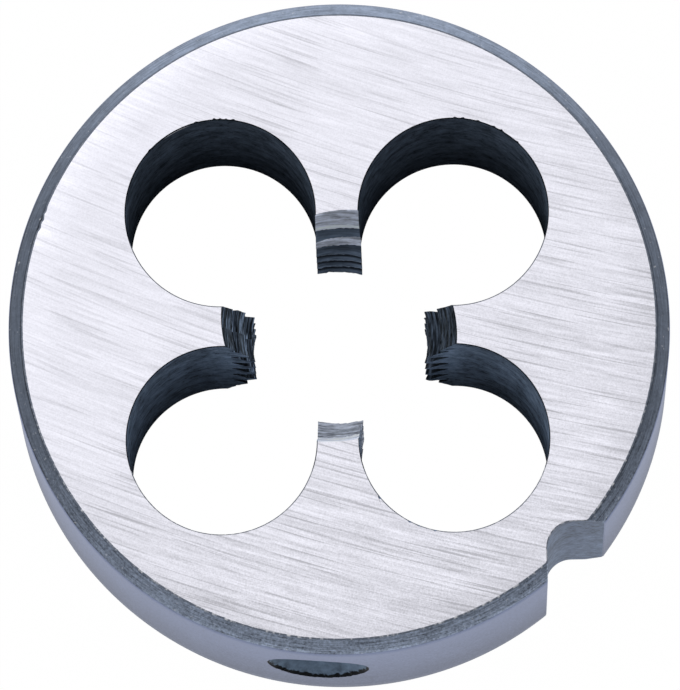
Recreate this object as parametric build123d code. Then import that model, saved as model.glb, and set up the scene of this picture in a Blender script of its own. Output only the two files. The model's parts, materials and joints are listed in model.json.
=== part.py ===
"""Round threading die: one disc of hardened tool steel that cuts an outside thread on a rod.

The disc lies flat with its back face on the XY plane and the thread axis along +Z. Four chip holes
open into the threaded middle and leave four cutting lands between them. A taper at each face, the
throat, leads the rod into the full thread, and on every land it falls away behind the cutting edge.
The rim carries one V groove, for the closing screw of a die stock, and two conical recesses, for
the screws that hold the die.
"""

import os
from math import ceil, cos, radians, sin, sqrt, tan

from build123d import *

# Body, in millimetres
BODY_DIAMETER = 30.0
BODY_THICKNESS = 11.0
RIM_BEVEL = 0.62

# Thread that the die cuts
THREAD_DIAMETER = 10.0
THREAD_PITCH = 1.5
THREAD_ANGLE = 60.0  # between the two flanks of a tooth
CORE_DIAMETER = 8.0  # across the tips of the die's teeth
ROOT_FLAT = 0.14  # width of the groove's floor
ROOT_CLEARANCE = 0.02  # radial room beyond the thread's outside
THREAD_START = 0.175  # height at which the groove's middle crosses the +X axis

# Throat, the same at both faces
THROAT_DIAMETER = 10.56  # at the middle of each land
THROAT_ANGLE = 50.0  # included angle of the cone
THROAT_SHIFT = 0.45  # from the thread's axis to the cone's, towards the heel of the land

# Chip holes
CHIP_HOLES = 4
CHIP_HOLE_DIAMETER = 8.6
CHIP_HOLE_CIRCLE = 14.72  # diameter of the circle through the hole centres
FIRST_CHIP_HOLE = 45.0  # degrees from +X
CHIP_HOLE_WANDER = ((0.03, -0.01), (-0.13, 0.06), (-0.16, 0.0), (-0.05, -0.01))  # of the drill, in X and Y
LAND_WIDTH = 2.06  # between the flats that dress its sides, at the teeth

# V groove for the closing screw, cut along the whole rim
GROOVE_DIRECTION = -44.5  # degrees from +X
GROOVE_ANGLE = 90.0  # between its two walls
GROOVE_DEPTH = 1.5
GROOVE_FLOOR_RADIUS = 1.2

# Conical recesses for the holding screws
RECESS_DIAMETER = 5.0
RECESS_ANGLE = 90.0  # included angle of the cone
RECESS_FROM_GROOVE = 50.0  # degrees, to each side of the V groove
RECESS_RISE = 0.45  # above the middle of the thickness, towards the front face

# Cutting tools run past the surfaces that they open by this much
OVERRUN = 1.0
TAP_INSIDE_BORE = 0.05  # radially, so that the tap's foot stays clear of the teeth's tips

body_radius = BODY_DIAMETER / 2
core_radius = CORE_DIAMETER / 2
chip_hole_circle_radius = CHIP_HOLE_CIRCLE / 2
half_land_pitch = 180 / CHIP_HOLES  # degrees, from the middle of a land to the next chip hole


def turned_blank():
    """The disc as it leaves the lathe, with bevelled rims and a plain bore."""
    outline = Polyline(
        (core_radius, 0),
        (body_radius - RIM_BEVEL, 0),
        (body_radius, RIM_BEVEL),
        (body_radius, BODY_THICKNESS - RIM_BEVEL),
        (body_radius - RIM_BEVEL, BODY_THICKNESS),
        (core_radius, BODY_THICKNESS),
        close=True,
    )
    half_section = Plane.XZ * make_face(outline)
    return revolve(half_section, Axis.Z)


def thread_turn():
    """One turn of the tap that cuts the die's teeth: a helical ridge of trapezoid section.

    The ridge is bounded by ruled surfaces between four helices, two at its foot just inside the
    bore and two at its crest. It starts and ends in a chip hole, clear of every land.
    """
    crest_radius = THREAD_DIAMETER / 2 + ROOT_CLEARANCE
    foot_radius = core_radius - TAP_INSIDE_BORE
    half_crest = ROOT_FLAT / 2
    half_foot = half_crest + (crest_radius - foot_radius) * tan(radians(THREAD_ANGLE / 2))
    corners = [
        (foot_radius, -half_foot),
        (crest_radius, -half_crest),
        (crest_radius, half_crest),
        (foot_radius, half_foot),
    ]
    rails = [Pos(0, 0, z) * Helix(THREAD_PITCH, THREAD_PITCH, r) for r, z in corners]
    sides = [
        Face.make_surface_from_curves(rail.edge(), rails[i - 1].edge())
        for i, rail in enumerate(rails)
    ]
    ends = [Face(Wire.make_polygon([rail @ t for rail in rails])) for t in (0, 1)]
    climb = THREAD_PITCH * FIRST_CHIP_HOLE / 360
    return Rot(0, 0, FIRST_CHIP_HOLE) * Pos(0, 0, climb) * Solid(Shell(sides + ends))


def thread_cutters():
    """Enough turns, one above the other, to run out past both faces."""
    turn = thread_turn()
    lowest = -ceil(THREAD_START / THREAD_PITCH) - 1
    highest = ceil((BODY_THICKNESS - THREAD_START) / THREAD_PITCH)
    heights = [THREAD_START + i * THREAD_PITCH for i in range(lowest, highest + 1)]
    return [Pos(0, 0, height) * turn for height in heights]


def land_throat():
    """The cone that opens the throat of one land, for a land on +X with its face at height 0.

    The cone's axis lies beside the thread's, so the throat is tightest at the land's
    anticlockwise edge, which cuts, and wider at its heel. The share of the cone that is kept
    ends in the two chip holes beside the land.
    """
    slope = tan(radians(THROAT_ANGLE / 2))
    radius_at_face = sqrt((THROAT_DIAMETER / 2) ** 2 + THROAT_SHIFT**2)
    length = radius_at_face / slope + OVERRUN
    cone = Cone(0, length * slope, length, align=(Align.CENTER, Align.CENTER, Align.MAX))
    reach = chip_hole_circle_radius
    half_width = reach * tan(radians(half_land_pitch))
    share = make_face(Polyline((0, 0), (reach, -half_width), (reach, half_width), close=True))
    share = Pos(0, 0, -length) * extrude(share, length + OVERRUN)
    return Pos(0, -THROAT_SHIFT, OVERRUN) * cone & share


def throat_cutters():
    """The throats of every land at both faces; the back ones are the front ones turned over."""
    throat = land_throat()
    front = Pos(0, 0, BODY_THICKNESS) * throat
    back = Rot(180, 0, 0) * throat
    first_land = FIRST_CHIP_HOLE + half_land_pitch
    lands = PolarLocations(0, CHIP_HOLES, first_land)
    return [land * cutter for land in lands for cutter in (front, back)]


def chip_hole_cutters():
    """Four drills that run right through and break into the bore, each a little off its true place."""
    drill = Cylinder(CHIP_HOLE_DIAMETER / 2, BODY_THICKNESS + 2 * OVERRUN)
    places = PolarLocations(chip_hole_circle_radius, CHIP_HOLES, FIRST_CHIP_HOLE)
    middle = BODY_THICKNESS / 2
    return [Pos(x, y, middle) * place * drill for place, (x, y) in zip(places, CHIP_HOLE_WANDER)]


def land_side_cutter():
    """What dressing takes off the sides of the lands: all that stands wider than a land, at the teeth.

    The chip holes fall away from the lands on both sides of their closest point. A disc up to that
    point is kept clear of one bar for each land, and the rest of it is cut away.
    """
    reach = chip_hole_circle_radius * cos(radians(half_land_pitch))
    height = BODY_THICKNESS + 2 * OVERRUN
    disc = Cylinder(reach, height)
    bar = Box(reach + OVERRUN, LAND_WIDTH, height, align=(Align.MIN, Align.CENTER, Align.CENTER))
    lands = PolarLocations(0, CHIP_HOLES, FIRST_CHIP_HOLE + half_land_pitch)
    return Pos(0, 0, BODY_THICKNESS / 2) * (disc - [land * bar for land in lands])


def groove_cutter():
    """A V-shaped bar with a rounded edge, along the full height of the rim."""
    half_angle = radians(GROOVE_ANGLE / 2)
    floor_to_apex = GROOVE_FLOOR_RADIUS * (1 / sin(half_angle) - 1)
    apex = body_radius - GROOVE_DEPTH - floor_to_apex
    reach = body_radius + OVERRUN - apex
    half_mouth = reach * tan(half_angle)
    vee = Polyline((apex, 0), (apex + reach, half_mouth), (apex + reach, -half_mouth), close=True)
    section = make_face(vee)
    point = section.vertices().sort_by(Axis.X)[0]
    section = fillet(point, GROOVE_FLOOR_RADIUS)
    bar = extrude(section, BODY_THICKNESS + 2 * OVERRUN)
    return Rot(0, 0, GROOVE_DIRECTION) * Pos(0, 0, -OVERRUN) * bar


def recess_cutter(direction):
    """A cone that points at the axis and is as wide as the recess where it meets the rim."""
    slope = tan(radians(RECESS_ANGLE / 2))
    depth = RECESS_DIAMETER / 2 / slope
    length = depth + OVERRUN
    cone = Cone(0, length * slope, length, align=(Align.CENTER, Align.CENTER, Align.MIN))
    place = Pos(body_radius - depth, 0, BODY_THICKNESS / 2 + RECESS_RISE) * Rot(0, 90, 0)
    return Rot(0, 0, direction) * place * cone


def threading_die():
    """The finished die."""
    die = turned_blank()
    die -= chip_hole_cutters()
    die -= groove_cutter()
    for side in (-1, 1):
        die -= recess_cutter(GROOVE_DIRECTION + side * RECESS_FROM_GROOVE)
    die -= throat_cutters()
    die -= thread_cutters()
    die -= land_side_cutter()
    return die


def main():
    os.makedirs("parts", exist_ok=True)
    export_step(threading_die(), "parts/die_body.step")


if __name__ == "__main__":
    main()
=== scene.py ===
"""A round threading die and the small studio that it lies in.

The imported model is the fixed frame: the die's axis is Z, its back face lies at height 0, and all
lengths are in metres. The die is one closed skin of steel, made of patches that share their borders:
two ground faces, the bevelled rim with its V groove and two recesses, four chip holes, and four
toothed lands. Each patch is a function of two parameters, and each has the finish that its making
leaves on it.
"""

import json
from math import atan2, cos, floor, hypot, pi, radians, sin, sqrt, tan

import bmesh
import bpy
import numpy as np
from bpy.props import FloatProperty, FloatVectorProperty, PointerProperty
from bpy.types import Operator, Panel, PropertyGroup
from mathutils import Matrix, Vector


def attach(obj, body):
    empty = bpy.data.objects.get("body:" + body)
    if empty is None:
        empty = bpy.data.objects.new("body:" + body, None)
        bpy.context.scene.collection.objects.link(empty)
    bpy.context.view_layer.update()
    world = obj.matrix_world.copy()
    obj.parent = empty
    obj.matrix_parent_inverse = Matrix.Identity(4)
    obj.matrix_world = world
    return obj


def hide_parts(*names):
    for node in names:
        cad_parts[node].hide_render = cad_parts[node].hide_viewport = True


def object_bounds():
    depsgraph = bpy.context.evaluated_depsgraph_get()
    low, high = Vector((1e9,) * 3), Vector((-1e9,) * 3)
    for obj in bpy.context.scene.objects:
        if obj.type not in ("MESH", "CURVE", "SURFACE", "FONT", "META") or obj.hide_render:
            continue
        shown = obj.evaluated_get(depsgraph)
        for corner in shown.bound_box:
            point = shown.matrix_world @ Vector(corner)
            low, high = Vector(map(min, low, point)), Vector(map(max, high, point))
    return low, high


bl_info = {
    "name": "Round Threading Die",
    "version": (1, 0, 0),
    "blender": (4, 5, 0),
    "location": "3D View > Sidebar > Threading Die",
    "description": "Makes the skin, the finishes and the studio of a round threading die",
    "category": "Add Mesh",
}

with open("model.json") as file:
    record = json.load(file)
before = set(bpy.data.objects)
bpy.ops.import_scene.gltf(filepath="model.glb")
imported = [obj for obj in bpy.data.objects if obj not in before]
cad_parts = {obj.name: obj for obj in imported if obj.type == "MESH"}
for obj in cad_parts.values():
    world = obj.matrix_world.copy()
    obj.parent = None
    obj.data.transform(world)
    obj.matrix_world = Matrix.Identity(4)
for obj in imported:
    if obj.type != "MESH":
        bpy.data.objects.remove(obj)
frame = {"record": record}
CAD_LOW, CAD_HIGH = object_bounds()
MOUNTS = {mount["name"]: mount for mount in frame["record"]["mounts"]}
RIM_RADIUS = min(CAD_HIGH.x, CAD_HIGH.y, -CAD_LOW.x, -CAD_LOW.y)

MM = 0.001
TURN = 2 * pi
LANDS = 4
LAND_PITCH = TURN / LANDS
# How far each chip hole's drill ran from its true place, in X and Y, in millimetres
HOLE_WANDER = ((0.03, -0.01), (-0.13, 0.06), (-0.16, 0.0), (-0.05, -0.01))

# Nicks in the front face at the chip holes' edges: the hole, the turn from its outermost point and
# half the nick's width in degrees, and its depth in millimetres
HOLE_NICKS = (
    (0, 2.0, 1.4, 0.04),
    (0, 13.9, 1.5, 0.06),
    (0, 18.9, 1.4, 0.04),
    (0, 29.1, 1.4, 0.04),
    (0, 38.4, 1.2, 0.06),
    (0, 43.2, 1.4, 0.05),
    (1, -53.4, 1.6, 0.05),
    (1, -49.0, 1.2, 0.04),
    (1, -45.4, 1.3, 0.05),
    (1, -42.0, 1.2, 0.07),
    (1, -30.8, 1.6, 0.04),
    (1, 2.2, 1.4, 0.03),
    (3, -96.8, 1.6, 0.06),
    (3, -73.5, 1.4, 0.04),
    (3, -67.5, 1.2, 0.03),
    (3, -57.5, 1.4, 0.04),
)
# Nicks in the front lip of the rim: the direction and half the width in degrees, and the depth in
# millimetres
RIM_NICKS = ((157.5, 0.9, 0.04), (159.2, 1.0, 0.08), (160.8, 1.0, 0.07))
LIP_WEAR = 0.012 * MM  # how ragged the rest of that lip is
NICK_SHOWS = 0.015 * MM  # depth from which a nick at a chip hole bares matt steel

# How finely the skin is divided
LAND_COLUMNS = 21
FLANK_ROWS = 14  # over one flank of the thread
FLAT_ROWS = 3  # over half a tip or half a root
COMB_COLUMNS = 6  # on a chip hole's wall, beside the teeth
WALL_COLUMNS = 281
WALL_ROWS = 13
FACE_ROWS = 6
GROOVE_FLANK_COLUMNS = 7
GROOVE_FLOOR_COLUMNS = 13
GROOVE_COLUMNS = GROOVE_FLOOR_COLUMNS + 2 * (GROOVE_FLANK_COLUMNS - 1)
ROUND_COLUMNS = 700  # on the rim, beside the groove
BEVEL_ROWS = 4
RIM_ROWS = (4, 13, 3)  # on the rim, below, beside and above the windows round the recesses
RING_ROWS = 5  # on the rim, around a recess
CONE_ROWS = 12
LAND_END_STEPS = 8  # in which the search for a land's edge settles

# Where patches with different spacing meet
COMB_STOP = radians(131.5)  # on a chip hole's wall, from its outermost point
WALL_STOP = radians(129.8)
LAND_SHARE = radians(2.5)  # half of a land's share of the circle inside the rim
LEAST_SLANT = 0.5  # cosine of the widest slant at which a hole's wall is taken on to a land's flat
NEAR_SIDE = -0.3  # cosine from +Y of the way out of a hole, at or below which its near side begins
CLEAR_OF_NICKS = 0.12  # share of the way over a face that its nicks stay within
INNER_CIRCLE_GAP = 0.90 * MM
OUTER_CIRCLE_GAP = 1.15 * MM
WINDOW_MARGIN = 0.6 * MM  # from a recess to the straight-sided window round it

WELD = 0.0005 * MM
CREASE = radians(25)

# The skin's material slots, in the order of die_finishes
GROUND, EDGE, BEVEL, RIM, HOLE, LAND, GROOVE, RECESS = range(8)

GRINDING_CENTRE = (38 * MM, 120 * MM, 0.0)  # that the marks on the ground faces curve round
# A painted highlight, where the lip of one chip hole catches the light
GLINT_SPOT = (-7.2 * MM, 8.9 * MM, 10.8 * MM)  # on the lip of one chip hole
# Colours that the oxide gives to light that glances off it
RIM_TINT = (0.88, 0.91, 1.0)
LAND_TINT = (0.62, 0.80, 1.0)


def shown(red, green, blue):
    """The scene-linear colour that a screen shows as these 8-bit values."""
    levels = np.array([red, green, blue]) / 255
    return tuple(np.where(levels <= 0.04045, levels / 12.92, ((levels + 0.055) / 1.055) ** 2.4).tolist())


def heading(mount):
    """The direction, round the die's axis, that a mount of the record points in."""
    axis = MOUNTS[mount]["axis"]
    return atan2(axis[1], axis[0])


def amount(name, description, default, **kind):
    """A setting that is one number."""
    return FloatProperty(name=name, description=description, default=default, **kind)


def length(name, description, default):
    """A setting that is a length."""
    return amount(name, description, default, unit="LENGTH", precision=5)


def angle(name, description, default):
    """A setting that is an angle."""
    return amount(name, description, default, subtype="ANGLE", unit="ROTATION")


def triple(name, description, default, **kind):
    """A setting that is three numbers."""
    return FloatVectorProperty(name=name, description=description, default=default, size=3, **kind)


def swatch(name, description, default):
    """A setting that is a scene-linear colour."""
    return triple(name, description, default, subtype="COLOR", min=0, max=1)


def position(name, description, default):
    """A setting that is a place: three lengths."""
    return triple(name, description, default, unit="LENGTH", precision=5)


class DieSizes(PropertyGroup):
    """Sizes of the die's skin"""

    radius: length("Radius", "Radius of the rim", RIM_RADIUS)
    thickness: length("Thickness", "From the back face to the front face", CAD_HIGH.z - CAD_LOW.z)
    bevel: length("Bevel", "Width and height of the rim's bevels", 0.62 * MM)
    edge_break: length("Edge break", "Width of the tiny bevel along every worn edge", 0.045 * MM)
    tip_radius: length("Tip radius", "From the axis to the tips of the teeth", 4.0 * MM)
    root_radius: length("Root radius", "From the axis to the floor of the thread groove", 5.02 * MM)
    root_flat: length("Root flat", "Width of the thread groove's floor", 0.14 * MM)
    pitch: length("Pitch", "Rise of the thread in one turn", 1.5 * MM)
    thread_start: length("Thread start", "Height at which the groove crosses the X axis", 0.175 * MM)
    flank_angle: angle("Flank angle", "Between a flank of a tooth and a level plane", radians(30))
    throat_radius: length("Throat radius", "Throat at the face, in the middle of a land", 5.28 * MM)
    throat_slope: angle("Throat slope", "Between the throat and the axis", radians(25))
    throat_shift: length("Throat shift", "From the die's axis to the throat cone's axis", 0.45 * MM)
    land_width: length("Land width", "Between the flats that dress a land's sides", 2.06 * MM)
    hole_radius: length("Chip hole radius", "Radius of a chip hole", 4.3 * MM)
    hole_circle: length("Chip hole circle", "From the axis to the middle of a chip hole", 7.36 * MM)
    groove_direction: angle("Groove direction", "From the X axis", heading("closing_groove"))
    groove_half_angle: angle("Groove half angle", "Between the groove's wall and its middle", radians(45))
    groove_depth: length("Groove depth", "Of the V groove, under the rim", 1.5 * MM)
    groove_floor: length("Groove floor", "Radius of the V groove's round floor", 1.2 * MM)
    recess_radius: length("Recess radius", "Of a conical recess, at the rim", 2.5 * MM)
    recess_half_angle: angle("Recess half angle", "Between a recess's wall and its axis", radians(45))
    recess_height: length("Recess height", "Of the recesses' axes", MOUNTS["recess_low"]["pos_m"][2])
    tear: length("Tear", "Unevenness that cutting leaves on the teeth", 0.018 * MM)
    chip: length("Chip", "Unevenness of the recesses' edges", 0.07 * MM)


class DieColours(PropertyGroup):
    """Colours of the die's finishes"""

    steel: swatch("Ground steel", "The ground faces", shown(222, 222, 231))
    # Bright steel of worn spots, also used for the painted highlights on the front edges and on a chip hole's
    # lip
    bright_steel: swatch("Worn edge", "The bright edges", shown(240, 241, 246))
    bevel: swatch("Bevel", "The bevels' blue-grey oxide", shown(136, 147, 166))
    rim: swatch("Rim", "The turned rim", shown(130, 140, 169))
    hole: swatch("Chip hole", "The dark oxide in the chip holes", shown(90, 103, 120))
    throat: swatch("Throat", "The ground steel of the lands' throats", shown(160, 166, 180))
    thread: swatch("Thread", "The oxide on the lands and in the thread groove", shown(64, 74, 88))
    groove: swatch("Groove", "The matt oxide in the V groove", shown(108, 123, 148))
    recess: swatch("Recess", "The oxide in the recesses", shown(120, 141, 166))


class StudioSettings(PropertyGroup):
    """The camera, the lights and the floor"""

    lens: amount("Lens", "Focal length", 620.66, unit="CAMERA")
    tilt: angle("Tilt", "Of the die away from the camera, about the view's level line", radians(-10.153))
    lean: angle("Lean", "Of the die to one side, about the view's upright line", radians(-0.592))
    turn: angle("Turn", "Of the die about its own axis", radians(0.75))
    aim: position(
        "Aim",
        "Middle of the front face, as the camera sees it: right, up and back",
        (-0.044 * MM, 0.875 * MM, -538.721 * MM),
    )
    sky_bright: amount("Bright sky", "Strength of the sky overhead", 1.04)
    sky_dark: amount("Dark sky", "Strength of the sky low in front", 0.22)
    sky_middle: triple("Sky middle", "Direction of the brightest sky", (-0.3, 0.5, 0.81), subtype="DIRECTION")
    lamp_power: amount("Lamp power", "Of the soft lamp", 0.15, unit="POWER")
    lamp_width: length("Lamp width", "Width of the soft lamp", 0.30)
    lamp_place: position("Lamp place", "Middle of the soft lamp, which faces the die", (-0.20, 0.30, 0.42))
    floor_width: length("Floor width", "Width of the square floor", 3.0)
    floor_gap: length("Floor gap", "Between the floor and the die's back face", 0.02 * MM)
    floor_glow: amount(
        "Floor glow", "Share of plain white in what the camera sees of the floor", 0.995, min=0, max=1
    )


# The skin's patches


def around(radius, direction, height):
    """Points round the die's axis: the radius times the cosine and the sine of the direction, and the
    height."""
    parts = np.broadcast_arrays(radius * np.cos(direction), radius * np.sin(direction), height)
    return np.stack(parts, axis=-1)


def at_height(x, y, height):
    """Points at these places, at one height."""
    return np.stack([x, y, np.full_like(x, height)], axis=-1)


def mixed(first, last, share):
    """Values on the straight way from first, at share 0, to last, at share 1."""
    return first + (last - first) * share


def smooth(value):
    """0 below 0, 1 above 1, and between them the cubic that starts and ends level."""
    value = np.clip(value, 0, 1)
    return value * value * (3 - 2 * value)


def uneven(place, waves=6, growth=1.618):
    """An uneven line from about -1 to 1: the mean of sine waves, each of whose frequencies is the one
    before times the growth, times the root of half their number."""
    orders = np.arange(waves)
    return np.mean(np.sin(place[..., None] * growth**orders + 2.4 * orders), axis=-1) * sqrt(waves / 2)


def pointing(direction):
    """The direction as a complex number of length 1."""
    return np.exp(1j * direction)


def along(vector, line):
    """How far a vector reaches along a line, both as complex numbers."""
    return np.real(vector * np.conj(line))


def hole_direction(number):
    """The true direction of a chip hole. Hole 0 lies between land 0, on +X, and land 1."""
    return (number + 0.5) * LAND_PITCH


def hole_centre(sizes, number):
    """The middle of a chip hole, as a complex number: its true place and the drill's wander."""
    wander = complex(*HOLE_WANDER[number % LANDS]) * MM
    return sizes.hole_circle * pointing(hole_direction(number)) + wander


def hole_reach(sizes, number, direction, spread=0.0):
    """From the middle of a chip hole to its wall, in a direction.

    It is the hole's radius, or, beside the teeth, the way to the flat that dresses the side of the
    land: the room between the middle and the flat, divided by the cosine of the slant."""
    reach = sizes.hole_radius + spread
    ray = pointing(direction)
    for land, side in ((number, 1), (number + 1, -1)):
        land_line = pointing(land * LAND_PITCH)
        flat_line = side * 1j * land_line
        room = along(hole_centre(sizes, number), flat_line) - sizes.land_width / 2
        slant = -along(ray, flat_line)
        beside_teeth = (along(ray, land_line) < 0) & (slant > LEAST_SLANT)
        reach_of_flat = room / np.maximum(slant, LEAST_SLANT)
        reach = np.where(beside_teeth, np.maximum(reach, reach_of_flat), reach)
    return reach


def throat_radius(sizes, depth, offset, side):
    """Radius of a throat, at a depth under its face and an angle from the land's middle.

    The cone's circle has its centre beside the die's axis, so the radius is the root of the circle's
    radius squared less the shift's cosine part squared, less the shift's sine part. Side is 1 at the
    front face and -1 at the back face, which is the front face turned over.
    """
    circle = hypot(sizes.throat_radius, sizes.throat_shift) - depth * tan(sizes.throat_slope)
    level = np.maximum(circle, 0) ** 2 - (sizes.throat_shift * np.cos(offset)) ** 2
    return np.sqrt(np.maximum(level, 0)) - side * sizes.throat_shift * np.sin(offset)


def thread_radius(sizes, height, direction):
    """Radius of the thread groove: its floor, less the way along the flank, and never inside the tips.

    The way along the flank is the height from the groove's middle, less half the floor's width,
    divided by the flank's slope. The middle rises by the pitch in each turn."""
    middle = sizes.thread_start + sizes.pitch * direction / TURN
    turns = (height - middle) / sizes.pitch
    away = np.abs(turns - np.round(turns)) * sizes.pitch
    flank = sizes.root_radius - np.maximum(away - sizes.root_flat / 2, 0) / tan(sizes.flank_angle)
    return np.maximum(flank, sizes.tip_radius)


def land_radius(sizes, height, direction, offset):
    """Radius of a land: the widest of the two throats, the thread and the tips. Also gives how far the
    thread lies outside the throats, which is below 0 where the throat is the surface."""
    front = throat_radius(sizes, sizes.thickness - height, offset, 1)
    back = throat_radius(sizes, height, offset, -1)
    throat = np.maximum(front, back)
    thread = thread_radius(sizes, height, direction + offset)
    return np.maximum(throat, thread), thread - throat


def land_ends(sizes, land, radius_at, spread=0.0):
    """Angles from a land's middle to its two edges, where its surface meets the chip holes.

    The cosine rule on the axis, the hole's middle and the meeting point gives the angle for a radius,
    and the flats that dress the land's sides cut it short. The radius hardly changes with the angle, so
    working out each from the other settles in a few steps."""
    ends = []
    for side, hole in ((-1, land - 1), (1, land)):
        centre = hole_centre(sizes, hole) * pointing(-land * LAND_PITCH)
        distance, lean = np.abs(centre), np.angle(centre)
        wall = sizes.hole_radius + spread
        offset = side * LAND_PITCH / 6
        for _ in range(LAND_END_STEPS):
            radius = radius_at(offset)
            meeting = np.arccos((radius**2 + distance**2 - wall**2) / (2 * radius * distance))
            flat = np.arcsin(np.minimum(sizes.land_width / 2 / radius, 1))
            offset = side * np.minimum(side * lean - meeting, flat)
        ends.append(offset)
    return ends


def land_levels(sizes, direction):
    """Heights of a land's rows, on its middle line: the corners of the thread's profile and even steps
    between them, in every turn, kept between the two edge breaks."""
    flank_start = sizes.root_flat / 2
    flank_end = flank_start + (sizes.root_radius - sizes.tip_radius) * tan(sizes.flank_angle)
    half = np.concatenate([
        np.linspace(0, flank_start, FLAT_ROWS)[:-1],
        np.linspace(flank_start, flank_end, FLANK_ROWS)[:-1],
        np.linspace(flank_end, sizes.pitch / 2, FLAT_ROWS),
    ])
    profile = np.concatenate([-half[:0:-1], half[:-1]])
    turns = np.arange(-1, floor(sizes.thickness / sizes.pitch) + 2)
    middles = sizes.thread_start + sizes.pitch * (turns + direction / TURN)
    levels = np.sort((middles[:, None] + profile).ravel())
    low, high = sizes.edge_break, sizes.thickness - sizes.edge_break
    clear = sizes.edge_break / 4
    inside = levels[(levels > low + clear) & (levels < high - clear)]
    return np.concatenate([[low], inside, [high]])


def land_patch(sizes, land):
    """Points of a toothed land, and at each how far the thread lies outside the throats.

    Rows climb with the thread, apart from the first and the last, which are level. Columns run from
    one chip hole to the other. The radius is the land's, plus a little tear: two uneven lines that
    slant across the land in opposite ways, and fade out at its ends."""
    direction = land * LAND_PITCH
    levels = land_levels(sizes, direction)[:, None]
    edge = np.minimum(levels - levels[0], levels[-1] - levels)
    climb = smooth(edge / (sizes.pitch / 4)) * sizes.pitch / TURN

    def radius_at(offset):
        """Radius of the land, and the thread's bite, at an angle from the land's middle."""
        height = levels + climb * offset
        radius, bite = land_radius(sizes, height, direction, offset)
        rough = uneven(direction * 7 + offset * 61 + height / MM * 2.9)
        rough = rough + 0.6 * uneven(offset * 23 - height / MM * 11.3 + direction)
        return radius + sizes.tear * rough * smooth(edge / sizes.edge_break / 4), bite

    low, high = land_ends(sizes, land, lambda offset: radius_at(offset)[0])
    offset = mixed(low, high, np.linspace(0, 1, LAND_COLUMNS))
    radius, bite = radius_at(offset)
    return around(radius, direction + offset, levels + climb * offset), bite


def hole_points(sizes, number, turn, height, spread=0.0):
    """Points on a chip hole's wall: from its middle, the wall's reach in a direction that is turned
    from the hole's outermost point. Spread widens the hole."""
    direction = hole_direction(number) + turn
    reach = hole_reach(sizes, number, direction, spread)
    place = hole_centre(sizes, number) + reach * pointing(direction)
    return np.stack(np.broadcast_arrays(place.real, place.imag, height), axis=-1)


def hole_turn(sizes, number, points):
    """How far points on a chip hole's wall are turned about its middle, from its outermost point."""
    away = points[..., 0] + 1j * points[..., 1] - hole_centre(sizes, number)
    return np.angle(away * pointing(-hole_direction(number)))


def comb_patch(sizes, number, edge):
    """Wall of a chip hole beside a toothed land: in each row, from a point of the land's edge round to
    an upright line, at that point's height."""
    start = hole_turn(sizes, number, edge)[:, None]
    turn = mixed(start, np.sign(start) * COMB_STOP, np.linspace(0, 1, COMB_COLUMNS))
    points = hole_points(sizes, number, turn, edge[:, 2:])
    points[:, 0] = edge
    return points


def wall_patch(sizes, number):
    """The rest of a chip hole's wall, from one upright line round to the other."""
    turn = np.linspace(-WALL_STOP, WALL_STOP, WALL_COLUMNS)
    height = np.linspace(sizes.edge_break, sizes.thickness - sizes.edge_break, WALL_ROWS)
    return hole_points(sizes, number, turn, height[:, None])


def nick_depth(turn, nicks):
    """How deep an edge is nicked where it has turned so far: for each nick, its depth times one raised
    wave of the cosine, over the nick's width."""
    depth = np.zeros_like(turn)
    for middle, width, cut in nicks:
        away = np.abs(turn - radians(middle)) / radians(width)
        depth += cut * MM * (0.5 + 0.5 * np.cos(pi * np.minimum(away, 1)))
    return depth


def nick_rim(points):
    """Points of the rim's front lip, moved towards the axis by the depth of its nicks and by the upper
    half of an uneven line, which fades out on the far side of the die."""
    place = points[:, 0] + 1j * points[:, 1]
    direction = np.angle(place)
    ragged = np.maximum(uneven(direction * 160, waves=5, growth=1.37), 0) * LIP_WEAR
    near_side = smooth(0.6 - np.sin(direction))
    place -= pointing(direction) * (nick_depth(direction, RIM_NICKS) + ragged * near_side)
    return np.stack([place.real, place.imag, points[:, 2]], axis=-1)


def face_outline(sizes, height, side, nicked):
    """The opening in a face, widened by the edge break and nicked or not, and for each of its points
    the direction that the face's columns take it to, on the circle inside the rim.

    It runs over each land at the throat's radius and round each chip hole's wall. A land has a small
    share of the circle, and each half of a hole's edge is spread over its half of the rest."""
    spread = sizes.edge_break

    def radius_at(offset):
        """Radius of the widened throat at an angle from a land's middle."""
        return throat_radius(sizes, 0, offset, side) + spread

    share = np.linspace(0, 1, LAND_COLUMNS)
    comb = np.linspace(0, 1, COMB_COLUMNS)
    wall = np.linspace(-WALL_STOP, WALL_STOP, WALL_COLUMNS)
    lands = []
    for land in range(LANDS):
        offset = mixed(*land_ends(sizes, land, radius_at, spread), share)
        lands.append(around(radius_at(offset), land * LAND_PITCH + offset, height))
    points, directions = [], []
    for number in range(LANDS):
        corners = np.stack([lands[number][-1], lands[(number + 1) % LANDS][0]])
        first, last = hole_turn(sizes, number, corners)
        turn = np.concatenate([
            mixed(first, -COMB_STOP, comb)[1:],
            wall,
            mixed(last, COMB_STOP, comb)[:0:-1],
        ])
        nicks = nick_depth(turn, [nick[1:] for nick in HOLE_NICKS if nick[0] == number and nicked])
        points += [lands[number], hole_points(sizes, number, turn, height, spread + nicks)]
        share_of_land = number * LAND_PITCH + mixed(-LAND_SHARE, LAND_SHARE, share)
        reached = turn / np.where(turn < 0, -first, last)
        directions += [share_of_land, hole_direction(number) + reached * (LAND_PITCH / 2 - LAND_SHARE)]
    return np.concatenate(points), np.concatenate(directions)


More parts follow.
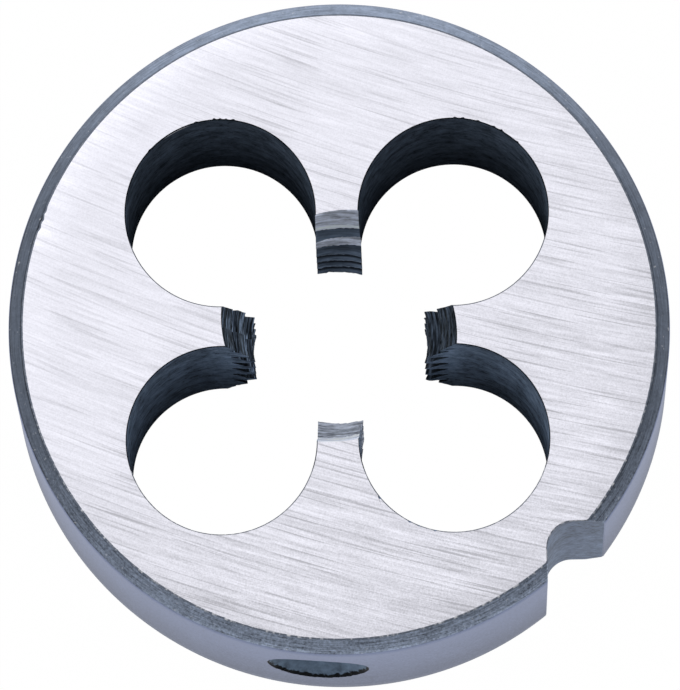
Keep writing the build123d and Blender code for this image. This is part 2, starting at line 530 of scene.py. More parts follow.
def body_outline(sizes, body_radius, spread=0.0):
    """Outline of the body where it has this radius, without its height: the V groove, then the round.

    The groove is worked out on its own middle line: a round floor, straight walls at its half angle,
    and lips where the walls meet the body's circle, each cut back a little. Spread moves the floor and
    the walls into the steel."""
    half = sizes.groove_half_angle
    floor_radius = sizes.groove_floor + spread
    floor_centre = sizes.radius - sizes.groove_depth + sizes.groove_floor
    apex = floor_centre - floor_radius / sin(half)
    slope = 1 / tan(half)
    inside = (apex * slope) ** 2 - (1 + slope**2) * (apex**2 - body_radius**2)
    lip = (sqrt(inside) - apex * slope) / (1 + slope**2)
    sweep = np.linspace(-(pi / 2 - half), pi / 2 - half, GROOVE_FLOOR_COLUMNS)
    floor_across = floor_radius * np.sin(sweep)
    floor_out = floor_centre - floor_radius * np.cos(sweep)
    cut_back = sizes.edge_break * sin(half)
    wall = np.linspace(floor_across[-1], lip - cut_back, GROOVE_FLANK_COLUMNS)[1:]
    across = np.concatenate([-wall[::-1], floor_across, wall])
    out = np.concatenate([apex + wall[::-1] * slope, floor_out, apex + wall * slope])
    lip_angle = np.arcsin(lip / body_radius) + sizes.edge_break / body_radius
    rest = np.linspace(lip_angle, TURN - lip_angle, ROUND_COLUMNS)
    x = np.concatenate([out, body_radius * np.cos(rest)])
    y = np.concatenate([across, body_radius * np.sin(rest)])
    turned = pointing(sizes.groove_direction) * (x + 1j * y)
    return turned.real, turned.imag


def rim_section(sizes):
    """Half section of the rim, from the back face to the front face: rows of radius and height, the
    finish of the strip after each row, and the heights between which the recesses' windows lie."""
    break_run = sizes.edge_break * sin(pi / 4)
    face_radius = sizes.radius - sizes.bevel
    start = np.array([face_radius + break_run, break_run])
    end = np.array([sizes.radius - break_run, sizes.bevel - break_run])
    bevel = mixed(start, end, np.linspace(0, 1, BEVEL_ROWS)[:, None])
    low, high = sizes.bevel + sizes.edge_break, sizes.thickness - sizes.bevel - sizes.edge_break
    reach = sizes.recess_radius + WINDOW_MARGIN
    window = [sizes.recess_height - reach, sizes.recess_height + reach]
    below, beside, above = RIM_ROWS
    heights = np.concatenate([
        np.linspace(low, window[0], below)[:-1],
        np.linspace(window[0], window[1], beside),
        np.linspace(window[1], high, above)[1:],
    ])
    wall = np.stack([np.full_like(heights, sizes.radius), heights], axis=-1)
    mirrored = bevel[::-1] * (1, -1) + (0, sizes.thickness)
    section = np.concatenate([bevel, wall, mirrored])
    strips = [BEVEL] * (BEVEL_ROWS - 1) + [RIM] * (len(wall) + 1) + [BEVEL] * (BEVEL_ROWS - 1)
    return section, strips, window


def rim_patch(sizes, section):
    """Points of the rim: at each row of its section, the body's outline at that radius."""
    return np.stack([at_height(*body_outline(sizes, radius), height) for radius, height in section])


def recess_edge(sizes, bearing):
    """How far a recess's edge lies from its axis, at a bearing round it: where the cone meets the rim's
    cylinder. Both are quadratic, and this is the positive root."""
    slope = 1 / tan(sizes.recess_half_angle)
    tip = sizes.radius - sizes.recess_radius * slope
    square = slope**2 + np.cos(bearing) ** 2
    return (np.sqrt((tip * slope) ** 2 + square * (sizes.radius**2 - tip**2)) - tip * slope) / square


def recess_patches(sizes, direction, window):
    """A ring on the rim, from the window's border in to the recess's edge, and the cone from that edge
    to its tip.

    The ring's points lie on even steps between the two, measured round and up the rim. The cone's lie
    on even steps of its radius. An uneven line chips the lower side of the edge."""
    border_direction = np.arctan2(window[:, 1], window[:, 0])
    across = sizes.radius * ((border_direction - direction + pi) % TURN - pi)
    up = window[:, 2] - sizes.recess_height
    bearing = np.arctan2(up, across)
    low_side = smooth((0.2 - np.sin(bearing)) * 2)
    edge = recess_edge(sizes, bearing) + sizes.chip * low_side * uneven(bearing * 17.0)
    share = np.linspace(0, 1, RING_ROWS)[:, None]
    edge_across = sizes.radius * np.arcsin(edge * np.cos(bearing) / sizes.radius)
    ring_across = mixed(across, edge_across, share)
    ring_up = mixed(up, edge * np.sin(bearing), share)
    ring = around(sizes.radius, direction + ring_across / sizes.radius, sizes.recess_height + ring_up)
    ring[0] = window
    slope = 1 / tan(sizes.recess_half_angle)
    tip = sizes.radius - sizes.recess_radius * slope
    reach = edge * np.linspace(1, 0, CONE_ROWS)[:, None]
    out, side = tip + reach * slope, reach * np.cos(bearing)
    x = out * cos(direction) - side * sin(direction)
    y = out * sin(direction) + side * cos(direction)
    cone = np.stack([x, y, sizes.recess_height + reach * np.sin(bearing)], axis=-1)
    cone[0] = ring[-1]
    return ring, cone


class Skin:
    """Patches of points that share their borders, gathered into one closed mesh."""

    def __init__(self):
        self.points, self.bites, self.faces, self.finishes = [], [], [], []
        self.count = 0

    def add(self, points, bite=0.0):
        """Keeps points, with how far the thread lies outside the throats at each, and gives back their
        numbers."""
        numbers = self.count + np.arange(points[..., 0].size).reshape(points.shape[:-1])
        self.points.append(points.reshape(-1, 3))
        self.bites.append(np.broadcast_to(bite, numbers.shape).ravel())
        self.count += numbers.size
        return numbers

    def grid(self, points, finish, closed=False, keep=True, bite=0.0):
        """Adds faces between neighbouring rows and columns. A closed grid joins its last column to its
        first. Finish and keep may differ from face to face."""
        numbers = self.add(points, bite)
        if closed:
            numbers = np.hstack([numbers, numbers[:, :1]])
        corners = (numbers[:-1, :-1], numbers[:-1, 1:], numbers[1:, 1:], numbers[1:, :-1])
        faces = np.stack(corners, axis=-1)
        keep = np.broadcast_to(keep, faces.shape[:2])
        self.faces += faces[keep].tolist()
        self.finishes.append(np.broadcast_to(finish, faces.shape[:2])[keep])

    def bridge(self, near, near_place, far, far_place, finish):
        """Adds triangles between two lines of points that run side by side with different spacing.

        Places grow along each line. Every span of one line is joined to the point that the other line
        has reached when the span's middle is passed."""
        near, far = self.add(near), self.add(far)
        near_middle = (near_place[1:] + near_place[:-1]) / 2
        far_middle = (far_place[1:] + far_place[:-1]) / 2
        reached_far = far[np.searchsorted(far_middle, near_middle, side="left")]
        reached_near = near[np.searchsorted(near_middle, far_middle, side="right")]
        from_near = np.stack([near[:-1], near[1:], reached_far], axis=-1)
        from_far = np.stack([far[1:], far[:-1], reached_near], axis=-1)
        faces = np.concatenate([from_near, from_far])
        self.faces += faces.tolist()
        self.finishes.append(np.full(len(faces), finish))

    def bridge_rings(self, near, far, finish):
        """Bridges two closed rings round the die's axis, by direction."""
        lines = []
        for ring in (near, far):
            place = np.arctan2(ring[:, 1], ring[:, 0]) % TURN
            order = np.argsort(place)
            order = np.append(order, order[0])
            place = np.append(place[order[:-1]], place[order[0]] + TURN)
            lines += [ring[order], place]
        self.bridge(*lines, finish)

    def piece(self, name, materials):
        """The mesh object, with the patches' shared points merged and every face turned outwards."""
        mesh = bpy.data.meshes.new(name)
        mesh.from_pydata(np.concatenate(self.points), [], self.faces)
        mesh.polygons.foreach_set("material_index", np.concatenate(self.finishes))
        bite = mesh.attributes.new("bite", "FLOAT", "POINT")
        bite.data.foreach_set("value", np.concatenate(self.bites))
        work = bmesh.new()
        work.from_mesh(mesh)
        bmesh.ops.remove_doubles(work, verts=work.verts, dist=WELD)
        unused = [vert for vert in work.verts if not vert.link_faces]
        bmesh.ops.delete(work, geom=unused, context="VERTS")
        bmesh.ops.recalc_face_normals(work, faces=work.faces)
        work.to_mesh(mesh)
        work.free()
        mesh.shade_smooth()
        mesh.set_sharp_from_angle(angle=CREASE)
        for material in materials:
            mesh.materials.append(material)
        piece = bpy.data.objects.new(name, mesh)
        bpy.context.scene.collection.objects.link(piece)
        return piece


def add_lands_and_holes(skin, sizes):
    """Adds the lands and the chip holes, and gives back the ring of points at each end of them."""
    rings = {0: [], -1: []}
    lands = [land_patch(sizes, land) for land in range(LANDS)]
    for number, (land, bite) in enumerate(lands):
        next_land, next_bite = lands[(number + 1) % LANDS]
        skin.grid(land, LAND, bite=bite)
        wall = wall_patch(sizes, number)
        skin.grid(wall, HOLE)
        combs = []
        edges = ((land[:, -1], bite[:, -1:], 0), (next_land[:, 0], next_bite[:, :1], -1))
        for edge, edge_bite, side in edges:
            comb = comb_patch(sizes, number, edge)
            skin.grid(comb, HOLE, bite=edge_bite)
            upright = wall[:, side]
            skin.bridge(comb[:, -1], comb[:, -1, 2], upright, upright[:, 2], HOLE)
            combs.append(comb)
        for end in rings:
            rings[end] += [land[end], combs[0][end, 1:], wall[end], combs[1][end, :0:-1]]
    return [np.concatenate(rings[end]) for end in (0, -1)]


def add_face(skin, sizes, height, side, opening, rim_ring, rim_circle):
    """Adds one ground face, with the edge break round its opening.

    Columns run from the opening to a circle inside the rim. A bridge takes them to the rim's own
    columns, which run on to the edge. The edge break has the land's finish on a land and the hole's on
    the far side of a hole. On the near side it is bright, with matt steel in the nicks."""
    edge, _ = face_outline(sizes, height, side, nicked=side > 0)
    outline, direction = face_outline(sizes, height, side, nicked=False)
    away = (edge - opening)[:, :2]
    far_side = away[:, 1] > NEAR_SIDE * np.hypot(*away.T)
    on_land = np.arange(len(edge)) % (len(edge) // LANDS) < LAND_COLUMNS - 1
    in_nick = np.hypot(*(edge - outline)[:, :2].T) > NICK_SHOWS
    finish = np.select([on_land, far_side, in_nick], [LAND, HOLE, GROOVE], EDGE)
    skin.grid(np.stack([opening, edge]), finish[None], closed=True)
    inner = around(sizes.hole_circle + sizes.hole_radius + INNER_CIRCLE_GAP, direction, height)
    share = np.insert(np.linspace(0, 1, FACE_ROWS), 1, CLEAR_OF_NICKS)[:, None, None]
    rows = mixed(outline, inner, share)
    rows[0] = edge
    skin.grid(rows, GROUND, closed=True)
    skin.bridge_rings(inner, rim_circle, GROUND)
    skin.grid(np.stack([rim_circle, rim_ring]), GROUND, closed=True)


def add_rim(skin, sizes):
    """Adds the rim with its groove and recesses, and gives back its first and last rows."""
    section, strips, (window_low, window_high) = rim_section(sizes)
    rim = rim_patch(sizes, section)
    rim[-1] = nick_rim(rim[-1])
    finish = np.repeat(np.array(strips)[:, None], rim.shape[1], axis=1)
    finish[:, : GROOVE_COLUMNS - 1] = GROOVE
    directions = np.arctan2(rim[0, :, 1], rim[0, :, 0])
    low = np.argmin(np.abs(section[:, 1] - window_low))
    high = np.argmin(np.abs(section[:, 1] - window_high))
    half_window = (sizes.recess_radius + WINDOW_MARGIN) / sizes.radius
    keep = np.ones(finish.shape, bool)
    for recess in ("recess_low", "recess_high"):
        away = (directions - heading(recess) + pi) % TURN - pi
        away[:GROOVE_COLUMNS] = TURN
        left = np.argmin(np.abs(away + half_window))
        right = np.argmin(np.abs(away - half_window))
        keep[low:high, left:right] = False
        window = np.concatenate([
            rim[low, left:right],
            rim[low:high, right],
            rim[high, right:left:-1],
            rim[high:low:-1, left],
        ])
        ring, cone = recess_patches(sizes, heading(recess), window)
        skin.grid(ring, RIM, closed=True)
        skin.grid(cone, RECESS, closed=True)
    skin.grid(rim, finish, closed=True, keep=keep)
    return rim[0], rim[-1]


def die_skin(sizes):
    """The whole skin of the die."""
    skin = Skin()
    openings = add_lands_and_holes(skin, sizes)
    rim_ends = add_rim(skin, sizes)
    face_radius = sizes.radius - sizes.bevel - sizes.edge_break
    circle_radius = sizes.hole_circle + sizes.hole_radius + OUTER_CIRCLE_GAP
    x, y = body_outline(sizes, face_radius, sizes.edge_break)
    for side, height, opening, rim_end in zip((-1, 1), (0.0, sizes.thickness), openings, rim_ends):
        ring = at_height(x, y, height)
        if side > 0:
            ring = nick_rim(ring)
        circle = around(circle_radius, np.arctan2(y, x), height)
        skin.grid(np.stack([rim_end, ring]), EDGE, closed=True)
        add_face(skin, sizes, height, side, opening, ring, circle)
    return skin


# The finishes


class Signal:
    """A socket of a finish's node tree, used in sums as a number is."""

    def __init__(self, recipe, socket):
        self.recipe = recipe
        self.socket = socket

    def __add__(self, other):
        return self.recipe.math("ADD", self, other)

    __radd__ = __add__

    def __sub__(self, other):
        return self.recipe.math("SUBTRACT", self, other)

    def __rsub__(self, other):
        return self.recipe.math("SUBTRACT", other, self)

    def __mul__(self, other):
        return self.recipe.math("MULTIPLY", self, other)

    __rmul__ = __mul__

    def __truediv__(self, other):
        return self.recipe.math("DIVIDE", self, other)

    def __rtruediv__(self, other):
        return self.recipe.math("DIVIDE", other, self)


class Recipe:
    """The node tree of one finish or light."""

    def __init__(self, tree):
        self.tree = tree
        tree.nodes.clear()

    def node(self, kind, settings=None, inputs=None, output=0):
        """Adds a node: its settings first, then the values or links of its sockets.

        It gives back one output, or a list of outputs where a tuple names them."""
        node = self.tree.nodes.new(kind)
        for name, value in (settings or {}).items():
            setattr(node, name, value)
        for name, value in (inputs or {}).items():
            if isinstance(value, Signal):
                self.tree.links.new(value.socket, node.inputs[name])
            else:
                node.inputs[name].default_value = value
        if isinstance(output, tuple):
            return [Signal(self, node.outputs[name]) for name in output]
        return Signal(self, node.outputs[output]) if node.outputs else None

    def math(self, operation, *values):
        """The result of a Math node on numbers."""
        return self.node("ShaderNodeMath", {"operation": operation}, dict(enumerate(values)))

    def vector(self, operation, *values, output=0):
        """The result of a Vector Math node."""
        settings = {"operation": operation}
        return self.node("ShaderNodeVectorMath", settings, dict(enumerate(values)), output)

    def clamped(self, value):
        """A number kept between 0 and 1."""
        return self.math("MAXIMUM", self.math("MINIMUM", value, 1.0), 0.0)

    def step(self, value, start, end):
        """0 before the start, 1 past the end and smooth between them. The end may be the lower one."""
        settings = {"interpolation_type": "SMOOTHSTEP"}
        inputs = {"Value": value, "From Min": start, "From Max": end}
        return self.node("ShaderNodeMapRange", settings, inputs)

    def blend(self, factor, first, last):
        """The colour on the way from first, at factor 0, to last, at factor 1."""
        first, last = (c if isinstance(c, Signal) else (*c, 1.0) for c in (first, last))
        inputs = {0: factor, 6: first, 7: last}
        return self.node("ShaderNodeMix", {"data_type": "RGBA"}, inputs, output=2)

    def shade(self, tone, colour, darkest, lightest):
        """A colour times darkest at tone 0 and times lightest at tone 1."""
        return self.blend(tone, times(colour, darkest), times(colour, lightest))

    def xyz(self, x=0.0, y=0.0, z=0.0):
        """A vector of three numbers."""
        return self.node("ShaderNodeCombineXYZ", inputs={0: x, 1: y, 2: z})

    def split(self, vector):
        """The three numbers of a vector."""
        return self.node("ShaderNodeSeparateXYZ", inputs={0: vector}, output=("X", "Y", "Z"))

    def noise(self, place, detail=2.0, roughness=0.5):
        """Smooth noise, about 0.5 on average, with one bump to a unit of place."""
        inputs = {"Vector": place, "Scale": 1.0, "Detail": detail, "Roughness": roughness}
        return self.node("ShaderNodeTexNoise", inputs=inputs)


class Finish(Recipe):
    """A material on the die, with the place that its pattern is worked out from."""

    def __init__(self, name):
        self.material = bpy.data.materials.new(name)
        self.material.use_nodes = True
        super().__init__(self.material.node_tree)
        self.place = self.node("ShaderNodeTexCoord", output="Object")
        self.x, self.y, self.z = self.split(self.place)

    def polar(self):
        """Radius and direction round the die's axis."""
        radius = self.math("SQRT", self.x * self.x + self.y * self.y)
        return radius, self.math("ARCTAN2", self.y, self.x)

    def speckle(self, frequency, detail=2.0, roughness=0.5):
        """Noise that is alike in all directions, with a number of bumps to a metre."""
        place = self.vector("MULTIPLY", self.place, (frequency,) * 3)
        return self.noise(place, detail, roughness)

    def surface(self, colour, roughness, height, depth, metallic=1.0, specular=0.5, tint=None):
        """Ends the tree in a Principled surface whose bump stands a depth high where height is 1."""
        relief = {"Height": height, "Distance": depth, "Strength": 1.0}
        bump = self.node("ShaderNodeBump", inputs=relief)
        inputs = {
            "Base Color": colour,
            "Metallic": metallic,
            "Roughness": roughness,
            "Specular IOR Level": specular,
            "Normal": bump,
        }
        if tint:
            inputs["Specular Tint"] = (*tint, 1.0)
        shader = self.node("ShaderNodeBsdfPrincipled", inputs=inputs)
        self.node("ShaderNodeOutputMaterial", inputs={"Surface": shader})
        return self.material


def times(colour, factor):
    """A colour made darker or lighter by a factor, and never lighter than white."""
    return tuple(min(value * factor, 1) for value in colour)


def ground_face(sizes, colours):
    """Bright steel with the long, faint arcs that a grinding wheel leaves.

    The arcs are noise round a point far beside the die, fine across them and long along them, in
    three widths. The darkest of the finest are strokes. Grain and a few smudges lie over them, and
    all of it grows stronger away from the lamp. The face is painted darker away from the lamp and
    towards the front: painted shade."""
    finish = Finish("ground_face")
    away = finish.vector("SUBTRACT", finish.place, GRINDING_CENTRE)
    across, up, _ = finish.split(away)
    distance = finish.math("SQRT", across * across + up * up)
    run = finish.math("ARCTAN2", up, across) * hypot(*GRINDING_CENTRE)

    def arcs(width, stretch, layer, detail=0.0):
        """Noise in arcs of this width, and longer than wide by the stretch."""
        place = finish.xyz(distance / width, run / (width * stretch), finish.z / MM + layer)
        return finish.noise(place, detail=detail) - 0.5

    fine = arcs(0.085 * MM, 26, 1.0, detail=1.0)
    middle = arcs(0.23 * MM, 24, 7.0)
    broad = arcs(1.3 * MM, 8, 13.0)
    strokes = finish.step(arcs(0.15 * MM, 32, 31.0), 0.11, 0.24)
    scratches = finish.step(arcs(0.11 * MM, 70, 57.0), 0.17, 0.24)
    grain = finish.speckle(15500.0, detail=1.0) - 0.5
    smudges = finish.step(finish.speckle(260.0, detail=3.0), 0.6, 0.75)
    # Away from the lamp, and towards the front, where the face is painted darker as shade
    reach = finish.step(finish.x - finish.y * 1.4, -20 * MM, 24 * MM)
    near = finish.step(finish.y, -5 * MM, -14 * MM)
    marks = strokes * 0.26 + scratches * 0.34 + smudges * 0.10
    pattern = (fine * 0.62 + middle * 0.31 + grain * 0.55) * (1 + near * 0.25) + broad * 0.19
    # Painted shade: the tone falls away from the lamp and towards the front
    tone = 0.78 + (pattern - marks) * (reach * 0.62 + 0.82) - reach * 0.15 - near * 0.08
    base = finish.shade(finish.clamped(tone), colours.steel, 0.66, 1.24)
    return finish.surface(base, 0.46, fine, 0.0015 * MM)


def worn_edge(sizes, colours):
    """Broken edges round the rim: dark oxide, faintly worn bright in spots, and much brighter in
    them at the front of the die, where it is a painted highlight.
    """
    finish = Finish("worn_edge")
    radius, turn = finish.polar()
    wear = finish.noise(finish.xyz(turn * 60, radius * 900, finish.z * 900), detail=3.0)
    front = finish.step(finish.y, 0.0, -9 * MM)
    # Worn bright spots, made much brighter at the front of the die as a painted highlight
    brightening = finish.step(wear, 0.48, 0.66) * (front * 0.5 + 0.10)
    base = finish.blend(brightening, times(colours.bevel, 0.5), colours.bright_steel)
    return finish.surface(base, 0.5, wear, 0.003 * MM, metallic=0.6)


def bevel_oxide(sizes, colours):
    """Blue-grey oxide on the bevels, mottled, with turning lines and small bright specks.

    It is painted darker to the left and the right, as shade, the left more than the right, and
    there a dark line also follows each edge of the bevel."""
    finish = Finish("oxide_bevel")
    radius, turn = finish.polar()
    sideways = finish.x * finish.x / (radius * radius)
    near = finish.step(finish.y, -2 * MM, -9 * MM)
    lines = finish.noise(finish.xyz(turn * 9, radius / (0.06 * MM), 0.0), detail=2.0) - 0.5
    mottle = finish.speckle(1700.0, detail=4.0, roughness=0.65)
    grit = finish.speckle(8000.0, detail=2.0, roughness=0.7) - 0.5
    specks = finish.step(finish.speckle(5200.0), 0.66, 0.78)
    half = sizes.bevel / 2
    from_middle = finish.math("ABSOLUTE", radius - (sizes.radius - half))
    edges = finish.step(from_middle, half - 0.12 * MM, half - 0.01 * MM)
    tone = 0.44 + lines * (near * 0.3 + 0.6) + (mottle - 0.5) * 0.4 + grit * (near * 0.7 + 0.3)
    # Painted shade: darker to the left and the right, most of all on the left
    tone = tone * (1 - finish.step(sideways, 0.0, 1.0) * 0.62 + finish.x / (200 * MM))
    tone = finish.clamped(tone - edges * sideways * 0.16)
    base = finish.blend(specks * 0.35, finish.shade(tone, colours.bevel, 0.12, 2.6), colours.bright_steel)
    return finish.surface(base, 0.48, mottle, 0.006 * MM)


def turned_rim(sizes, colours):
    """Satin rim with a faint blue cast and fine lines round it, painted darker towards the back
    face: a painted reflection of the shade on the floor beside it.
    """
    finish = Finish("turned_rim")
    _, turn = finish.polar()
    lines = finish.noise(finish.xyz(turn * 3, finish.z / (0.05 * MM), 0.0), detail=2.0)
    cloud = finish.speckle(350.0, detail=3.0) - 0.5
    grain = finish.speckle(9000.0, detail=2.0, roughness=0.6) - 0.5
    # Painted reflection of the floor's shade: darker towards the back face
    height = finish.step(finish.z, -2 * MM, sizes.thickness + 0.5 * MM)
    tone = (lines - 0.5) * 0.6 + cloud * 0.3 + grain * 1.6 + height
    base = finish.shade(tone, colours.rim, 0.34, 0.92)
    return finish.surface(base, 0.42, lines, 0.001 * MM, tint=RIM_TINT)


def hole_oxide(sizes, colours):
    """Dark oxide on drilled walls, with faint rings and pits.

    It is black at the lip, and painted dark low in the holes, as shade. It is paler in the two front
    holes, most of all beside the teeth. One spot of a lip carries a painted highlight."""
    finish = Finish("chip_hole")
    radius, _ = finish.polar()
    depth = sizes.thickness - finish.z
    rings = finish.noise(finish.xyz(finish.x * 300, finish.y * 300, finish.z / (0.12 * MM)))
    cloud = finish.speckle(1100.0, detail=5.0, roughness=0.75)
    pits = finish.step(finish.speckle(5200.0), 0.60, 0.70)
    # Painted shade: the walls darken low in the holes
    lit = finish.step(depth, 14 * MM, 2 * MM) * 0.85 + 0.15
    lip = finish.step(depth, 0.10 * MM, 0.04 * MM)
    front = finish.step(finish.y, 3 * MM, -3 * MM)
    teeth = front * finish.step(radius, 6.8 * MM, 5.0 * MM)
    tone = 0.155 + (rings - 0.5) * 0.16 + (cloud - 0.5) * 0.55 - pits * 0.07
    tone = finish.math("MAXIMUM", tone, 0.02) * lit * (1 + front * 1.15) * (1 + teeth * 0.9)
    tone = finish.math("MINIMUM", tone, 1.0) * (1 - lip * 0.9)
    # A painted highlight on one spot of a lip
    distance = finish.vector("DISTANCE", finish.place, GLINT_SPOT, output="Value")
    brightening = finish.step(distance, 0.8 * MM, 0.3 * MM) * finish.step(depth, 0.24 * MM, 0.20 * MM)
    oxide = finish.shade(tone, colours.hole, 0.0, 4.8)
    base = finish.blend(brightening * (1 - lip) * 0.8, oxide, colours.bright_steel)
    return finish.surface(base, 0.7, cloud, 0.012 * MM, metallic=0.0, specular=0.0)


class LandFinish(Finish):
    """The finish of the lands: its pattern, and the masks that tell its regions apart."""

    def __init__(self, sizes, colours):
        super().__init__("land")
        self.colours = colours
        radius, turn = self.polar()
        # Depth under the front face, and how far the thread lies outside the throats
        self.depth = sizes.thickness - self.z
        self.bite = self.node("ShaderNodeAttribute", {"attribute_name": "bite"}, output="Fac")
        # The lands to the left and the right, the front land, and the left one
        self.sideways = self.step(self.x * self.x / (radius * radius), 0.3, 0.7)
        self.front = self.step(self.y, -2 * MM, -3 * MM)
        self.left = self.step(self.x, 0.0, -3 * MM)
        # Near the front face, and painted shade deep inside the thread groove away from it
        self.high = self.step(self.depth, 4.5 * MM, 2.0 * MM)
        groove_start = sizes.tip_radius + self.sideways * (0.2 * MM)
        self.root_shade = self.step(radius - groove_start, 0.08 * MM, 0.18 * MM) * (1 - self.high) * 0.9
        # Turning lines and stains, and long scrapes
        lines = self.noise(self.xyz(turn * 4, radius / (0.09 * MM), self.z / (0.20 * MM)), detail=1.0)
        cloud = self.speckle(1800.0, detail=4.0, roughness=0.6)
        self.tone = self.clamped(0.5 + (lines - 0.5) * 2.6 + (cloud - 0.5))
        place = self.xyz(turn * 3 + 9, radius / (0.055 * MM), self.z / (0.8 * MM))
        self.scrapes = self.step(self.noise(place, detail=1.0), 0.54, 0.64)

    def ground(self):
        """Ground steel with turning lines, and a bright line where it runs out at a tooth."""
        past_mouth = self.step(self.depth, 0.6 * MM, 0.8 * MM)
        above_teeth = self.step(self.depth, 1.8 * MM, 1.6 * MM)
        run_out = self.step(self.bite, -0.62 * MM, -0.45 * MM) * past_mouth * above_teeth * (1 - self.front)
        steel = self.shade(self.tone, self.colours.throat, 0.8, 2.2)
        return self.blend(run_out, steel, self.shade(self.tone, self.colours.throat, 1.9, 2.6))

    def front_ground(self):
        """Ground steel of the front land: duller, with a thin dark line, and bright at the mouth."""
        mouth = self.step(self.depth, 0.60 * MM, 0.50 * MM)
        line = self.step(self.depth, 0.84 * MM, 0.74 * MM) * (1 - mouth)
        tone = self.math("MINIMUM", self.tone * (1 - line * 0.9) + mouth * 0.5, 1.0)
        dull = self.shade(tone, self.colours.throat, 0.44, 1.8)
        return self.blend(mouth * 0.75, dull, self.shade(self.tone, self.colours.throat, 2.0, 2.8))

    def side_oxide_and_shade(self):
        """Dark oxide colour on the lands to the left and the right, which on their throats is painted
        shade, darker still deep in the groove, with fine bright scrapes, most of them on the left land.
        """
        dark = self.shade(self.tone * self.tone * (1 - self.root_shade), self.colours.thread, 0.02, 1.45)
        scraped = self.scrapes * (0.18 + self.left * 0.62) * (1 - self.root_shade)
        return self.blend(scraped, dark, self.shade(self.tone, self.colours.thread, 1.4, 8.0))

    def oxide(self):
        """Oxide in the thread groove: pale and even near the front face, and dark lower down, darkest
        deep in the groove, where shade is painted.
        """
        dark = self.shade((self.tone * 0.6 + 0.4) * (1 - self.root_shade), self.colours.thread, 0.05, 3.0)
        return self.blend(self.high, dark, self.shade(self.tone, self.colours.thread, 1.0, 2.0))


def land_steel(sizes, colours):
    """Lands: ground steel on the throats, dark oxide on the flanks and the tips of the teeth.

    The lands to the left and the right are painted dark on their throats too: painted shade. The
    front land is bright all over."""
    finish = LandFinish(sizes, colours)
    side_oxide_and_shade = finish.side_oxide_and_shade()
    throat = finish.blend(finish.front, finish.ground(), finish.front_ground())
    cut = finish.step(finish.bite, -0.01 * MM, 0.02 * MM) * (1 - finish.front * 0.85)
    # The lands to the left and the right take the dark oxide and painted shade all over
    base = finish.blend(
        cut,
        finish.blend(finish.sideways, throat, side_oxide_and_shade),
        finish.blend(finish.sideways, finish.oxide(), side_oxide_and_shade),
    )
    roughness = 0.45 + cut * 0.15
    return finish.surface(
        base, roughness, finish.tone, 0.010 * MM, metallic=0.35, specular=0.12, tint=LAND_TINT
    )


def groove_oxide(sizes, colours):
    """Matt oxide in the V groove, with small pits."""
    finish = Finish("groove")
    grain = finish.speckle(2600.0, detail=4.0, roughness=0.6)
    cloud = finish.speckle(500.0, detail=2.0) - 0.5
    fine = finish.speckle(7500.0, detail=2.0, roughness=0.7) - 0.5
    tone = finish.clamped(0.5 + (grain - 0.5) * 1.7 + cloud * 1.2 + fine * 1.3)
    base = finish.shade(tone, colours.groove, 0.45, 1.45)
    return finish.surface(base, 0.6, grain, 0.006 * MM, metallic=0.6, specular=0.3)


def recess_oxide(sizes, colours):
    """Dark oxide in the drilled recesses, black towards their edges."""
    finish = Finish("recess")
    radius, _ = finish.polar()
    grain = finish.speckle(2200.0, detail=4.0, roughness=0.6)
    ragged = (finish.speckle(4500.0) - 0.5) * (0.35 * MM)
    black = finish.step(radius + ragged, sizes.radius - 0.16 * MM, sizes.radius - 0.10 * MM)
    tone = finish.math("MINIMUM", grain * 1.5, 1.0) * (1 - black)
    base = finish.shade(tone, colours.recess, 0.02, 0.9)
    return finish.surface(base, 0.6, grain, 0.006 * MM, metallic=0.3, specular=0.1)


def die_finishes(sizes, colours):
    """The materials, in the order of the skin's slots."""
    makers = (
        ground_face,
        worn_edge,
        bevel_oxide,
        turned_rim,
        hole_oxide,
        land_steel,
        groove_oxide,
        recess_oxide,
    )
    return [maker(sizes, colours) for maker in makers]


# The studio


def add_camera(studio, sizes):
    """A long lens that looks almost straight down on the die.

    The die is turned about its own axis, tilted and leaned, and then moved to the aim, all as the
    camera sees it. The camera's own place is that movement undone."""
    seen = Matrix.Rotation(studio.lean, 3, "Y")
    seen @= Matrix.Rotation(studio.tilt, 3, "X")
    seen @= Matrix.Rotation(studio.turn, 3, "Z")
    back = seen.transposed()
    data = bpy.data.cameras.new("camera")
    data.lens = studio.lens
    data.sensor_width = 36.0
    data.clip_start = 0.01
    data.clip_end = 10.0
    camera = bpy.data.objects.new("camera", data)
    camera.matrix_world = back.to_4x4()
    camera.location = Vector((0, 0, sizes.thickness)) - back @ Vector(studio.aim)
    bpy.context.scene.collection.objects.link(camera)
    bpy.context.scene.camera = camera


def add_world(studio):
    """A soft sky: bright overhead and behind the die, dark low in front of it."""
    world = bpy.data.worlds.new("soft_sky")
    world.use_nodes = True
    bpy.context.scene.world = world
    recipe = Recipe(world.node_tree)
    towards = recipe.node("ShaderNodeTexCoord", output="Generated")
    middle = tuple(Vector(studio.sky_middle).normalized())
    nearness = recipe.vector("DOT_PRODUCT", towards, middle, output="Value")
    rise = studio.sky_bright - studio.sky_dark
    strength = studio.sky_dark + recipe.step(nearness, -0.25, 0.75) * rise
    inputs = {"Color": (1.0, 1.0, 1.0, 1.0), "Strength": strength}
    light = recipe.node("ShaderNodeBackground", inputs=inputs)
    recipe.node("ShaderNodeOutputWorld", inputs={"Surface": light})


def add_lamp(studio):
    """One large soft lamp up and to the left."""
    data = bpy.data.lights.new("soft_lamp", "AREA")
    data.shape = "DISK"
    data.size = studio.lamp_width
    data.energy = studio.lamp_power
    lamp = bpy.data.objects.new("soft_lamp", data)
    lamp.location = studio.lamp_place
    lamp.rotation_euler = Vector(lamp.location).to_track_quat("Z", "Y").to_euler()
    bpy.context.scene.collection.objects.link(lamp)


